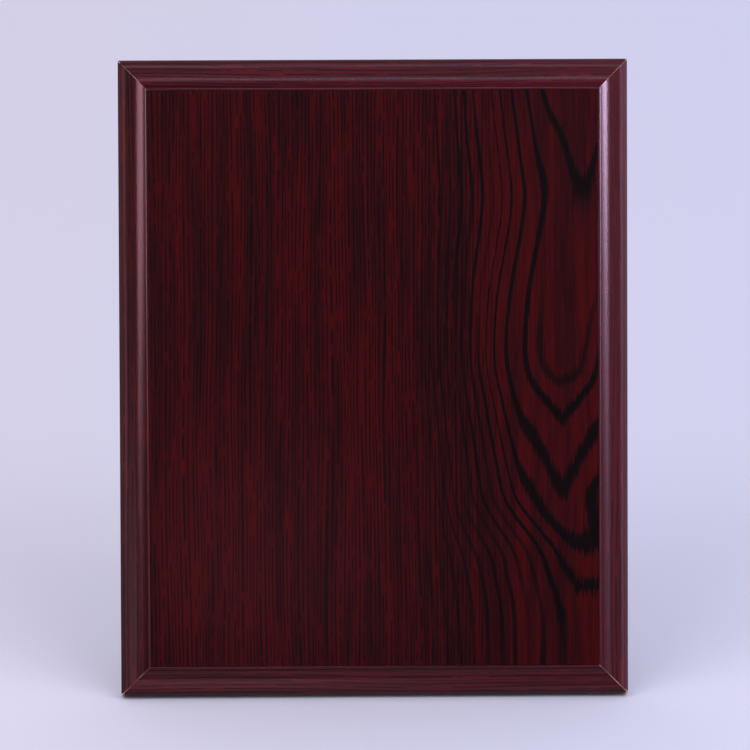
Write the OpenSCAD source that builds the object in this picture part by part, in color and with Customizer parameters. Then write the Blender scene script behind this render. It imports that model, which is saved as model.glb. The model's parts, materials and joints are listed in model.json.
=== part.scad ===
// Wooden award plaque: a raised, film-faced board inside four mitred mouldings, on a
// folding easel strut, with a keyhole plate for hanging it on a wall instead.
// Every piece is drawn with the plaque lying face up: X across, Y from its bottom edge
// to its top, Z from its back to its face. stand_up() then leans it back on its strut.
// The origin is on the table, in the middle of the standing plaque's outline.

/* [Plaque] */
// Width over the mouldings
plaque_w = 200; // [150:1:300]
// Height over the mouldings
plaque_h = 250; // [205:1:400]
// Thickness from the back of the board to the raised face
face_h = 15; // [12:0.5:20]
// Width of the moulding around the raised face
border = 11.7; // [9.5:0.1:16]
// Thickness of the printed wood film
film_t = 0.3; // [0.2:0.05:0.5]
// Glue gap between the board and the mouldings
board_gap = 0.1; // [0.05:0.05:0.3]

/* [Moulding profile] */
// Width of the flat lip next to the raised face
lip_w = 0.9; // [0.5:0.1:1.2]
// How far the lip lies below the raised face
lip_drop = 0.2; // [0.1:0.05:0.5]
// Depth of the cove below the lip
cove_depth = 3.8; // [2.5:0.1:4.6]
// Radius of the cove
cove_r = 5; // [4.8:0.1:5.8]
// Radius of the outer front edge
edge_r = 3.2; // [2:0.1:3.4]
// Width of film that is turned over onto the back
turn_in = 4.8; // [3:0.1:5.2]

/* [Corner V-nails] */
// Length of each leg of a V-nail
vnail_leg = 3; // [2:0.1:3.6]
// Thickness of a V-nail
vnail_t = 0.5; // [0.3:0.1:0.6]
// Depth that a V-nail reaches into the moulding
vnail_depth = 7; // [4:0.5:7.4]
// How far a V-nail is driven below the back
vnail_set = 0.2; // [0.1:0.1:1]
// Room that each driven fastener has in its hole
drive_gap = 0.05; // [0.02:0.01:0.1]

/* [Back card] */
// Thickness of the flocked back card
card_t = 0.6; // [0.4:0.1:1]
// Distance from the edge of the plaque to the card
card_inset = 3; // [2:0.5:6]

/* [Stance] */
// Lean of the plaque back from upright
lean = 12; // [10:0.5:16]
// Angle between the open strut and the back
open_angle = 20; // [14:0.5:20]

/* [Hinge] */
// Distance from the top edge down to the hinge axis
hinge_drop = 86; // [75:1:110]
// Width of both hinge leaves
leaf_w = 36; // [32:1:40]
// Length of each leaf from the axis to its end
leaf_l = 19; // [17:0.5:22]
// Thickness of the leaves
leaf_t = 0.8; // [0.6:0.1:1]
// Outer radius of the knuckles
knuckle_r = 2.3; // [2:0.1:2.8]
// Radius of the hinge pin
pin_r = 1; // [0.8:0.05:1.2]
// Radius of the pin's peened heads
pin_head_r = 1.7; // [1.5:0.1:1.9]
// Thickness of the pin's peened heads
pin_head_t = 0.6; // [0.4:0.1:1]
// Radial clearance of the pin in the knuckles
pin_gap = 0.05; // [0.03:0.01:0.08]
// Gap between the knuckles, and from a knuckle to what passes it
knuckle_gap = 0.4; // [0.3:0.05:0.6]
// Spacing of the screws, and of the rivets, along a leaf
fastener_pitch = 12; // [9:0.5:13]
// Distance of the screws, and of the rivets, from the hinge axis
fastener_y = 11; // [9:0.5:13]

/* [Screws and rivets] */
// Radius of a screw head
screw_head_r = 2.3; // [2:0.1:2.8]
// Height of a screw head
screw_head_h = 1.3; // [1:0.1:1.8]
// Radius of a screw shank
screw_r = 1.2; // [0.9:0.05:1.4]
// Length of a screw below its head
screw_l = 9; // [6:0.5:10]
// Width of the cross slot
slot_w = 0.55; // [0.4:0.05:0.8]
// Radius of a rivet shank
rivet_r = 1.2; // [0.9:0.05:1.4]
// Radius of a rivet's domed head
rivet_head_r = 2.4; // [2:0.1:2.8]
// Height of a rivet's domed head
rivet_head_h = 1; // [0.7:0.1:1.4]
// Room around a shank in the metal and the card
shank_gap = 0.15; // [0.1:0.05:0.3]

/* [Strut] */
// Width of the strut at the hinge
strut_top_w = 42; // [41:1:50]
// Width of the strut at its foot
strut_foot_w = 72; // [50:1:90]
// Thickness of the strut's board
strut_t = 3; // [2.5:0.1:4]
// Thickness of the flocked cover around it
cover_t = 0.4; // [0.3:0.1:0.6]
// Distance from the hinge axis to the top of the strut
strut_top_gap = 3.4; // [3.3:0.1:4.5]

/* [Ribbon stay] */
// Distance from the hinge axis down to the ribbon
stay_drop = 96; // [60:1:100]
// Width of the ribbon
ribbon_w = 12; // [10:0.5:16]
// Thickness of the ribbon
ribbon_t = 0.3; // [0.2:0.05:0.35]
// Length of ribbon that is stapled down at each end
tab_l = 10; // [8:0.5:12]
// Width of a staple
staple_w = 8; // [6:0.5:9]
// Thickness of the staple wire
wire_t = 0.4; // [0.3:0.05:0.45]
// Depth of the legs of the staple in the board
staple_l = 6; // [4:0.5:8]
// Depth of the legs of the staple in the strut
strut_staple_l = 2.6; // [2:0.1:2.8]

/* [Keyhole plate] */
// Distance from the top edge down to the middle of the plate
plate_drop = 36; // [30:1:40]
// Length of the plate over its round ends
plate_l = 42; // [41:1:44]
// Width of the plate
plate_w = 16; // [14:0.5:20]
// Thickness of the plate
plate_t = 1; // [0.8:0.1:1.4]
// Radius of the round part of the keyhole
keyhole_r = 4; // [3.5:0.1:4.5]
// Width of the keyhole's slot
key_slot_w = 4; // [3:0.1:4.2]
// Distance from the round part to the end of the slot
key_slot_l = 8; // [7:0.5:8.5]
// Distance between the plate's tacks
tack_pitch = 34; // [33:0.5:35]
// Depth of the pocket behind the plate
pocket_d = 8; // [6:0.5:8.5]
// Room around the keyhole in the pocket and the card
pocket_gap = 0.8; // [0.5:0.1:1.2]
// Radius of a tack head
tack_head_r = 2; // [1.6:0.1:2.4]
// Height of a tack head
tack_head_h = 0.8; // [0.5:0.1:1.2]
// Radius of a tack shank
tack_r = 0.8; // [0.6:0.05:1]
// Length of a tack below its head
tack_l = 9; // [6:0.5:10]

/* [Hidden] */
$fn = 64;

// Overlap of cuts past the surface that they open
eps = 0.01;

// Moulding profile: heights of its lip and its outer shelf, and the middle of its cove
lip_h = face_h - lip_drop;
shelf_h = lip_h - cove_depth;
cove_x = lip_w + sqrt(cove_r * cove_r - pow(cove_r - cove_depth, 2));

// Raised board, inside the mouldings
board_w = plaque_w - 2 * (border + board_gap);
board_h = plaque_h - 2 * (border + board_gap);
board_t = face_h - film_t;

// Hinge axis: its distance behind the back, and its place up the plaque
axis_z = card_t + knuckle_gap + knuckle_r;
hinge_y = plaque_h - hinge_drop;
knuckle_w = (leaf_w - 2 * knuckle_gap) / 3;

// Folded strut: how far its inner and outer faces lie behind the back
strut_in = card_t + knuckle_gap + leaf_t;
strut_out = strut_in + strut_t + 2 * cover_t;

// Keyhole plate
plate_y = plaque_h - plate_drop;
key_y = plate_y - key_slot_l / 2;

// Outline of the standing plaque, before it is centred on the origin
tilt = open_angle - lean;
axis_up = hinge_y * cos(lean) - axis_z * sin(lean);
axis_back = hinge_y * sin(lean) + axis_z * cos(lean);
foot_off = strut_out - axis_z;
foot_run = (axis_up + foot_off * sin(tilt)) / cos(tilt);
foot_back = axis_back + foot_run * sin(tilt) + foot_off * cos(tilt);
top_back = max(plaque_h * sin(lean), (plaque_h - card_inset) * sin(lean) + card_t * cos(lean));
face_front = face_h * cos(lean) - (border + board_gap) * sin(lean);
lip_front = lip_h * cos(lean) - (border - lip_w) * sin(lean);
middle_back = (max(foot_back, top_back) - max(face_front, lip_front)) / 2;

// Length from the hinge at which the strut is drawn before its foot is cut
strut_blank = foot_run + 10;

// The ribbon's two ends, across the plaque's height and behind its back
ribbon_y = hinge_y - stay_drop;
function swung(y, z) = [
    hinge_y + (y - hinge_y) * cos(open_angle) - (z + axis_z) * sin(open_angle),
    -axis_z + (y - hinge_y) * sin(open_angle) + (z + axis_z) * cos(open_angle)];

// ---- placing ----

module stand_up() {
    translate([0, -middle_back, 0]) rotate([90 - lean, 0, 0]) children();
}

module swing_open() {
    translate([0, hinge_y, -axis_z]) rotate([open_angle, 0, 0]) translate([0, -hinge_y, axis_z]) children();
}

// Cuts what stands lower than a height above the table
module cut_level(level) {
    reach = 2 * plaque_h;
    difference() {
        children();
        translate([-reach / 2, -reach / 2, level - reach]) cube(reach);
    }
}

module box(low, high) {
    translate(low) cube(high - low);
}

// ---- mouldings ----

// Section of a moulding from the board outwards, with a skin taken off its shown faces
module moulding_section(skin) {
    square([border - edge_r, shelf_h - skin]);
    square([border - skin, shelf_h - edge_r]);
    translate([border - edge_r, shelf_h - edge_r]) circle(edge_r - skin);
    difference() {
        square([cove_x, lip_h - skin]);
        translate([cove_x, shelf_h + cove_r]) circle(cove_r + skin);
    }
}

module wood_section() {
    difference() {
        moulding_section(film_t);
        translate([border - turn_in, -eps]) square([turn_in, film_t + eps]);
    }
}

module wrap_section() {
    difference() {
        moulding_section(0);
        wood_section();
    }
}

// One side of the frame: turn 0 is the bottom, 90 the right, 180 the top and 270 the left
module frame_side(turn) {
    across = (turn % 180 == 0) ? plaque_w : plaque_h;
    depth = (turn % 180 == 0) ? plaque_h : plaque_w;
    translate([0, plaque_h / 2, 0]) rotate([0, 0, turn]) intersection() {
        translate([0, border - depth / 2, 0]) rotate([90, 0, -90])
            linear_extrude(across, center = true) children();
        translate([0, 0, -eps]) linear_extrude(face_h + 2 * eps) polygon([
            [-across / 2, -depth / 2], [across / 2, -depth / 2],
            [across / 2 - border, border - depth / 2], [border - across / 2, border - depth / 2]]);
    }
}

// Four V-nails, each with its point on a mitre and a leg in both mouldings
module v_nails(grow) {
    point = (turn_in + border - vnail_leg) / 2;
    half = vnail_t / 2 + grow;
    for (sx = [-1, 1], sy = [-1, 1])
        translate([sx * (plaque_w / 2 - point), plaque_h / 2 + sy * (plaque_h / 2 - point), 0])
            mirror([sx > 0 ? 1 : 0, 0, 0]) mirror([0, sy > 0 ? 1 : 0, 0]) {
                box([-half, -half, vnail_set - grow], [vnail_leg + grow, half, vnail_depth + grow]);
                box([-half, -half, vnail_set - grow], [half, vnail_leg + grow, vnail_depth + grow]);
            }
}

module v_nail_slots() {
    v_nails(drive_gap);
    // the nails are driven from the back, so each slot is open there
    translate([0, 0, -vnail_set]) v_nails(drive_gap);
}

module moulding(turn) {
    difference() {
        frame_side(turn) wood_section();
        v_nail_slots();
    }
}

module bottom_moulding() {
    color("saddlebrown") stand_up() moulding(0);
}

module right_moulding() {
    color("saddlebrown") stand_up() moulding(90);
}

module top_moulding() {
    color("saddlebrown") stand_up() moulding(180);
}

module left_moulding() {
    color("saddlebrown") stand_up() moulding(270);
}

module bottom_wrap() {
    color([0.30, 0.09, 0.11]) stand_up() frame_side(0) wrap_section();
}

module right_wrap() {
    color([0.30, 0.09, 0.11]) stand_up() frame_side(90) wrap_section();
}

module top_wrap() {
    color([0.30, 0.09, 0.11]) stand_up() frame_side(180) wrap_section();
}

module left_wrap() {
    color([0.30, 0.09, 0.11]) stand_up() frame_side(270) wrap_section();
}

module corner_v_nails() {
    color("silver") stand_up() v_nails(0);
}

// ---- board, face and back ----

module board_blank(low, high) {
    edge = border + board_gap;
    box([-board_w / 2, edge, low], [board_w / 2, edge + board_h, high]);
}

module core_board() {
    color("burlywood") stand_up() difference() {
        board_blank(0, board_t);
        keyhole(keyhole_r + pocket_gap, 2 * (keyhole_r + pocket_gap), -eps, pocket_d);
        screw_row(1) cylinder(r = screw_r + drive_gap, h = screw_l);
        tack_pair() cylinder(r = tack_r + drive_gap, h = tack_l);
        back_staple_at() staple(staple_l, drive_gap);
    }
}

module face_film() {
    color([0.24, 0.07, 0.08]) stand_up() board_blank(board_t, face_h);
}

module back_card() {
    color([0.10, 0.10, 0.11]) stand_up() difference() {
        box([card_inset - plaque_w / 2, card_inset, -card_t], [plaque_w / 2 - card_inset, plaque_h - card_inset, 0]);
        keyhole(keyhole_r + pocket_gap, 2 * (keyhole_r + pocket_gap), -card_t - eps, eps);
        translate([0, 0, -card_t - eps]) {
            screw_row(1) cylinder(r = screw_r + shank_gap, h = card_t + 2 * eps);
            tack_pair() cylinder(r = tack_r + shank_gap, h = card_t + 2 * eps);
        }
        back_staple_at() staple(staple_l, drive_gap);
    }
}

// ---- keyhole plate ----

// Round hole with a slot that runs up from it
module keyhole(r, slot, low, high) {
    translate([0, 0, low]) linear_extrude(high - low) {
        translate([0, key_y]) circle(r);
        translate([-slot / 2, key_y]) square([slot, key_slot_l]);
        translate([0, key_y + key_slot_l]) circle(slot / 2);
    }
}

module tack_pair() {
    for (side = [-1, 1])
        translate([0, plate_y + side * tack_pitch / 2, 0]) children();
}

module keyhole_plate() {
    low = -card_t - plate_t;
    straight = plate_l - plate_w;
    color("silver") stand_up() difference() {
        translate([0, plate_y, low]) linear_extrude(plate_t) {
            square([plate_w, straight], center = true);
            for (side = [-1, 1]) translate([0, side * straight / 2]) circle(plate_w / 2);
        }
        keyhole(keyhole_r, key_slot_w, low - eps, -card_t + eps);
        translate([0, 0, low - eps]) tack_pair() cylinder(r = tack_r + shank_gap, h = plate_t + 2 * eps);
    }
}

// Domed head that stands below z = 0
module dome(r, h) {
    ball_r = (r * r + h * h) / (2 * h);
    intersection() {
        translate([0, 0, ball_r - h]) sphere(ball_r);
        translate([0, 0, -h - eps]) cylinder(r = r, h = h + eps);
    }
}

module keyhole_tacks() {
    color("gainsboro") stand_up() translate([0, 0, -card_t - plate_t]) tack_pair() {
        dome(tack_head_r, tack_head_h);
        cylinder(r = tack_r, h = tack_l);
    }
}

// ---- hinge ----

// Places along a leaf: side 1 is the leaf on the back, -1 the leaf on the strut
module screw_row(side) {
    for (i = [-1:1]) translate([i * fastener_pitch, hinge_y + side * fastener_y, 0]) children();
}

module barrel(r, low, high) {
    translate([low, hinge_y, -axis_z]) rotate([0, 90, 0]) cylinder(r = r, h = high - low);
}

// One leaf, up or down from the axis, with the knuckles whose left ends are listed
module leaf(side, back_z, knuckles) {
    start = knuckle_r + knuckle_gap;
    near = hinge_y + side * start;
    far = hinge_y + side * leaf_l;
    difference() {
        union() {
            box([-leaf_w / 2, min(near, far), back_z - leaf_t], [leaf_w / 2, max(near, far), back_z]);
            for (x = knuckles) {
                barrel(knuckle_r, x, x + knuckle_w);
                box([x, min(hinge_y, near + side), back_z - leaf_t],
                    [x + knuckle_w, max(hinge_y, near + side), back_z]);
            }
        }
        barrel(pin_r + pin_gap, -leaf_w, leaf_w);
    }
}

module hinge_fixed_leaf() {
    color("silver") stand_up() difference() {
        leaf(1, -card_t, [-leaf_w / 2, leaf_w / 2 - knuckle_w]);
        translate([0, 0, -card_t - leaf_t - eps]) screw_row(1)
            cylinder(r = screw_r + shank_gap, h = leaf_t + 2 * eps);
    }
}

module hinge_pin() {
    color("gainsboro") stand_up() {
        barrel(pin_r, -leaf_w / 2 - eps, leaf_w / 2 + eps);
        barrel(pin_head_r, -leaf_w / 2 - pin_head_t, -leaf_w / 2);
        barrel(pin_head_r, leaf_w / 2, leaf_w / 2 + pin_head_t);
    }
}

module screw() {
    point_l = 2 * screw_r;
    cylinder(r = screw_r, h = screw_l - point_l);
    translate([0, 0, screw_l - point_l]) cylinder(r1 = screw_r, r2 = 0, h = point_l);
    difference() {
        dome(screw_head_r, screw_head_h);
        for (turn = [0, 90]) rotate([0, 0, turn])
            translate([-screw_head_r * 0.6, -slot_w / 2, -screw_head_h - eps])
                cube([screw_head_r * 1.2, slot_w, screw_head_h * 0.6]);
    }
}

module hinge_screws() {
    color("gainsboro") stand_up() translate([0, 0, -card_t - leaf_t]) screw_row(1) screw();
}

// ---- strut ----

// The strut folded flat, smaller than its cover by a skin
module strut_blank_shape(skin) {
    top = hinge_y - strut_top_gap;
    foot = hinge_y - strut_blank;
    flare = (strut_foot_w - strut_top_w) / 2 * (top - foot) / (foot_run - strut_top_gap);
    half = strut_top_w / 2 - skin;
    translate([0, 0, -strut_out + skin]) linear_extrude(strut_out - strut_in - 2 * skin) polygon([
        [-half, top - skin], [half, top - skin], [half + flare, foot], [-half - flare, foot]]);
}

module strut_holes() {
    translate([0, 0, -strut_out - eps]) screw_row(-1)
        cylinder(r = rivet_r + drive_gap, h = strut_out - strut_in + 2 * eps);
    strut_staple_at() staple(strut_staple_l, drive_gap);
}

module strut_board() {
    color("peru") cut_level(cover_t) stand_up() swing_open() difference() {
        strut_blank_shape(cover_t);
        strut_holes();
    }
}

module strut_cover() {
    color([0.10, 0.10, 0.11]) difference() {
        cut_level(0) stand_up() swing_open() difference() {
            strut_blank_shape(0);
            strut_holes();
        }
        cut_level(cover_t) stand_up() swing_open() strut_blank_shape(cover_t);
    }
}

module hinge_moving_leaf() {
    color("silver") stand_up() swing_open() difference() {
        leaf(-1, leaf_t - strut_in, [-knuckle_w / 2]);
        translate([0, 0, -strut_in]) screw_row(-1) {
            translate([0, 0, -eps]) cylinder(r = rivet_r + drive_gap, h = leaf_t + 2 * eps);
            countersink(drive_gap);
        }
    }
}

// Cone that widens to the leaf's shown face
module countersink(grow) {
    cylinder(r1 = rivet_r + grow, r2 = rivet_r + leaf_t + grow, h = leaf_t);
}

module strut_rivets() {
    color("gainsboro") stand_up() swing_open() screw_row(-1) {
        translate([0, 0, -strut_in]) countersink(0);
        translate([0, 0, -strut_out - eps]) cylinder(r = rivet_r, h = strut_out - strut_in + 2 * eps);
        translate([0, 0, -strut_out]) dome(rivet_head_r, rivet_head_h);
    }
}

// ---- ribbon stay and its staples ----

// Staple with its crown below z = 0 and its legs above
module staple(legs, grow) {
    half = staple_w / 2;
    thick = wire_t / 2 + grow;
    box([-half - grow, -thick, -wire_t - grow], [half + grow, thick, grow]);
    for (side = [-1, 1])
        translate([side * (half - wire_t / 2), 0, 0])
            box([-thick, -thick, -wire_t], [thick, thick, legs + grow]);
}

module back_staple_at() {
    translate([0, ribbon_y + tab_l / 2, -card_t - ribbon_t]) children();
}

module strut_staple_at() {
    translate([0, ribbon_y - tab_l / 2, ribbon_t - strut_in]) rotate([180, 0, 0]) children();
}

module back_staple() {
    color("silver") stand_up() back_staple_at() staple(staple_l, 0);
}

module strut_staple() {
    color("silver") stand_up() swing_open() strut_staple_at() staple(strut_staple_l, 0);
}

// A tab up the back, a taut span to the strut, and a tab down the strut
module stay_ribbon() {
    color([0.13, 0.13, 0.14]) stand_up() difference() {
        rotate([90, 0, 90]) linear_extrude(ribbon_w, center = true) polygon([
            [ribbon_y + tab_l, -card_t], [ribbon_y + tab_l, -card_t - ribbon_t],
            [ribbon_y + ribbon_t, -card_t - ribbon_t],
            swung(ribbon_y, -strut_in), swung(ribbon_y - tab_l, -strut_in),
            swung(ribbon_y - tab_l, ribbon_t - strut_in), swung(ribbon_y - ribbon_t, ribbon_t - strut_in),
            [ribbon_y, -card_t]]);
        back_staple_at() staple(staple_l, drive_gap);
        swing_open() strut_staple_at() staple(strut_staple_l, drive_gap);
    }
}

core_board();
face_film();
bottom_moulding();
right_moulding();
top_moulding();
left_moulding();
bottom_wrap();
right_wrap();
top_wrap();
left_wrap();
corner_v_nails();
back_card();
hinge_fixed_leaf();
hinge_screws();
hinge_pin();
keyhole_plate();
keyhole_tacks();
stay_ribbon();
back_staple();
strut_board();
strut_cover();
hinge_moving_leaf();
strut_rivets();
strut_staple();
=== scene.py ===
"""A film-faced wooden award plaque, leaning on the folding strut behind it.

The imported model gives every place. Two benches turn its sizes back into a maker's own:
the plaque's bench holds the plaque lying face up, and the strut's bench the strut folded
flat on its back. On both, X runs across, Y from the bottom edge to the top and Z out of
the face. Lengths are in metres, and MM turns a maker's millimetres into them.
"""

import json
import math

import bmesh
import bpy
from mathutils import Matrix, Vector


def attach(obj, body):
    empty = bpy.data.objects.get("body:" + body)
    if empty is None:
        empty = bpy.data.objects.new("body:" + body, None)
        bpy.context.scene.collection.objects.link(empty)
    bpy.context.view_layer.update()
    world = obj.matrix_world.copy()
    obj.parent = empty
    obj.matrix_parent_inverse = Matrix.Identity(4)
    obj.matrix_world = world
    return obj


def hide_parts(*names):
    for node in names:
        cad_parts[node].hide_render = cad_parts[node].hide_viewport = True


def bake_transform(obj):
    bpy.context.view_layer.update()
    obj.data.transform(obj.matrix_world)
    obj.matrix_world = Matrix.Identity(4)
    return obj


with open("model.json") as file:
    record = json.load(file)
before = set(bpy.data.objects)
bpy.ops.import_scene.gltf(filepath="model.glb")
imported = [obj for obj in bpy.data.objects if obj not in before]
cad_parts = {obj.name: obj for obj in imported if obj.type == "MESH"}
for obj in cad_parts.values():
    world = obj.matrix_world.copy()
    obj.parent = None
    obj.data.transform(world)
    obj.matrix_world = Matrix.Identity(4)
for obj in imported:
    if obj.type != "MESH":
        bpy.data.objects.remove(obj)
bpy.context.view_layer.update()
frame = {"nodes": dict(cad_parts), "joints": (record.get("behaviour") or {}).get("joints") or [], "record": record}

MM = 0.001
SEED = 7

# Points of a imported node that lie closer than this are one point.
SAME_POINT = 0.002 * MM
# Faces that turn by less than this are one face, and edges that turn by more are eased.
FLAT_TURN = math.radians(0.5)
EDGE_TURN = math.radians(40)
# Faces from this size up are shaded flat, so that no easing shows across them.
BROAD_FACE = 3 * MM ** 2


# ---- benches ----

def span(node, bench):
    """The lowest and highest corners of a node of the frame, as it lies on a bench."""
    to_bench = bench.inverted()
    places = [to_bench @ v.co for v in frame["nodes"][node].data.vertices]
    return (Vector([min(p[i] for p in places) for i in range(3)]),
            Vector([max(p[i] for p in places) for i in range(3)]))


def lay_plaque():
    """The bench whose origin is the middle of the plaque's bottom edge, on its back."""
    face = next(m for m in frame["record"]["mounts"] if m["name"] == "award_face")
    out = Vector(face["axis"]).normalized()
    across = Vector((1, 0, 0))
    up = out.cross(across)
    bench = Matrix((across, up, out)).transposed().to_4x4()
    low, high = span("bottom_wrap", bench)
    return bench @ Matrix.Translation((0, low.y, low.z))


def lay_strut(plaque_bench):
    """The bench of the strut, which is folded flat when it lies there."""
    hinge = next(j for j in frame["joints"] if j["name"] == "strut_fold")
    pivot = Matrix.Translation(hinge["pos_m"])
    opened = Matrix.Rotation(-math.radians(hinge["range_deg"][1]), 4, Vector(hinge["axis"]))
    return pivot @ opened @ pivot.inverted() @ plaque_bench


PLAQUE = lay_plaque()
STRUT = lay_strut(PLAQUE)


# ---- meshes ----

def mesh_piece(name, points, faces, bench=Matrix(), uvs=None, marks=None):
    """A piece from its points and faces on a bench. uvs gives each point's place in the
    grain, and marks holds other values of each point, by name."""
    mesh = bpy.data.meshes.new(name)
    mesh.from_pydata(points, [], faces)
    if uvs:
        layer = mesh.uv_layers.new(name="grain")
        for corner in mesh.loops:
            layer.data[corner.index].uv = uvs[corner.vertex_index]
    for mark, values in (marks or {}).items():
        mesh.attributes.new(mark, "FLOAT", "POINT").data.foreach_set("value", values)
    mesh.transform(bench)
    return link(name, mesh)


def link(name, mesh):
    piece = bpy.data.objects.new(name, mesh)
    bpy.context.scene.collection.objects.link(piece)
    return piece


def face_outwards(mesh):
    shape = bmesh.new()
    shape.from_mesh(mesh)
    bmesh.ops.recalc_face_normals(shape, faces=shape.faces)
    shape.to_mesh(mesh)
    shape.free()


def smooth(mesh, crease=35, flat_from=None):
    """Smooth shading up to a crease angle. Faces from a given area up stay flat."""
    mesh.shade_smooth()
    mesh.set_sharp_from_angle(angle=math.radians(crease))
    if flat_from:
        for face in mesh.polygons:
            face.use_smooth = face.area < flat_from


def settled(piece):
    """The piece with its modifiers worked in, as one plain mesh."""
    seen = piece.evaluated_get(bpy.context.evaluated_depsgraph_get())
    mesh = bpy.data.meshes.new_from_object(seen)
    name = piece.name
    bpy.data.objects.remove(piece)
    mesh.name = name
    return link(name, mesh)


def finish_piece(piece, finish, body, slot, *nodes):
    """Gives a piece its finish and its body, and hides the nodes that it stands for. slot is not used."""
    piece.data.materials.clear()
    piece.data.materials.append(finish)
    if body:
        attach(piece, body)
    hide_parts(*nodes)
    return piece


def arc(centre, radius, start, end, steps):
    """Points from one angle to another, in degrees, round a centre."""
    turns = [math.radians(start + (end - start) * i / steps) for i in range(steps + 1)]
    return [(centre[0] + radius * math.cos(t), centre[1] + radius * math.sin(t)) for t in turns]


def softened(node, name, edge):
    """A copy of a node of the frame with its seams closed and its edges eased."""
    shape = bmesh.new()
    shape.from_mesh(frame["nodes"][node].data)
    bmesh.ops.remove_doubles(shape, verts=shape.verts, dist=SAME_POINT)
    bmesh.ops.dissolve_limit(shape, angle_limit=FLAT_TURN, verts=shape.verts, edges=shape.edges)
    mesh = bpy.data.meshes.new(name)
    shape.to_mesh(mesh)
    shape.free()
    piece = link(name, mesh)
    bevel = piece.modifiers.new("eased edges", "BEVEL")
    bevel.width = edge
    bevel.segments = 2
    bevel.limit_method = "ANGLE"
    bevel.angle_limit = EDGE_TURN
    bevel.miter_outer = "MITER_ARC"
    piece = settled(piece)
    smooth(piece.data, 50, BROAD_FACE)
    return piece


# ---- finishes ----

def tone(red, green, blue):
    """A colour as a painter's 0 to 255 swatch, made linear."""
    parts = [c / 255 for c in (red, green, blue)]
    return (*[c / 12.92 if c <= 0.04045 else ((c + 0.055) / 1.055) ** 2.4 for c in parts], 1)


class Reading:
    """A number that a finish's nodes work out at each point of a surface."""

    def __init__(self, nodes, socket):
        self.nodes, self.socket = nodes, socket

    def work(self, operation, *others):
        node = self.nodes.node("ShaderNodeMath", operation=operation)
        for place, value in enumerate((self, *others)):
            self.nodes.feed(node.inputs[place], value)
        return Reading(self.nodes, node.outputs[0])

    def __add__(self, other):
        return self.work("ADD", other)

    __radd__ = __add__

    def __sub__(self, other):
        return self.work("SUBTRACT", other)

    def __rsub__(self, other):
        return self.work("MULTIPLY_ADD", -1, other)

    def __mul__(self, other):
        return self.work("MULTIPLY", other)

    def __truediv__(self, other):
        return self.work("DIVIDE", other)

    def __pow__(self, other):
        return self.work("POWER", other)

    def step(self, low, high, start=0, end=1):
        """Goes smoothly from start to end as the reading goes from low to high."""
        node = self.nodes.node("ShaderNodeMapRange", interpolation_type="SMOOTHSTEP")
        for place, value in enumerate((self, low, high, start, end)):
            self.nodes.feed(node.inputs[place], value)
        return Reading(self.nodes, node.outputs[0])


class Nodes:
    """A tree of shading nodes, and the few kinds of node that the finishes share."""

    def __init__(self, tree):
        self.tree = tree

    def node(self, kind, **settings):
        made = self.tree.nodes.new(kind)
        for setting, value in settings.items():
            setattr(made, setting, value)
        return made

    def feed(self, socket, value):
        if isinstance(value, Reading):
            value = value.socket
        if isinstance(value, bpy.types.NodeSocket):
            self.tree.links.new(value, socket)
        else:
            socket.default_value = value

    def parts(self, vector):
        """The three parts of a vector, one reading each."""
        apart = self.node("ShaderNodeSeparateXYZ")
        self.feed(apart.inputs[0], vector)
        return [Reading(self, out) for out in apart.outputs]

    def point(self, *parts):
        made = self.node("ShaderNodeCombineXYZ")
        for place, value in enumerate(parts):
            self.feed(made.inputs[place], value)
        return made.outputs[0]

    def clouds(self, place, size=1, detail=2, roughness=0.5):
        """Soft random variation, with blobs about size across."""
        node = self.node("ShaderNodeTexNoise", noise_dimensions="3D")
        for socket, value in (("Vector", place), ("Scale", 1 / size), ("Detail", detail),
                              ("Roughness", roughness)):
            self.feed(node.inputs[socket], value)
        return Reading(self, node.outputs["Fac"])

    def streaks(self, across, along, width, length, layer=0, **look):
        """Soft random streaks in the grain, about a width across and a length long. Each
        layer has its own streaks."""
        return self.clouds(self.point(across / width, along / length, layer), **look)

    def specks(self, place, size, share, radius):
        """Round specks: share of the cells, each size across, holds one."""
        node = self.node("ShaderNodeTexVoronoi", voronoi_dimensions="3D")
        self.feed(node.inputs["Vector"], place)
        self.feed(node.inputs["Scale"], 1 / size)
        apart = self.node("ShaderNodeSeparateColor")
        self.feed(apart.inputs[0], node.outputs["Color"])
        chosen = Reading(self, apart.outputs[0]).step(1 - share, 1.001 - share)
        off_middle = Reading(self, node.outputs["Distance"])
        return chosen * off_middle.step(radius / size, 0.4 * radius / size)

    def mix(self, share, first, second):
        """A colour that goes from the first to the second as the share goes to 1."""
        node = self.node("ShaderNodeMix", data_type="RGBA")
        sockets = [s for s in node.inputs if s.enabled]
        for socket, value in zip(sockets, (share, first, second)):
            self.feed(socket, value)
        return next(s for s in node.outputs if s.enabled)


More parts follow.
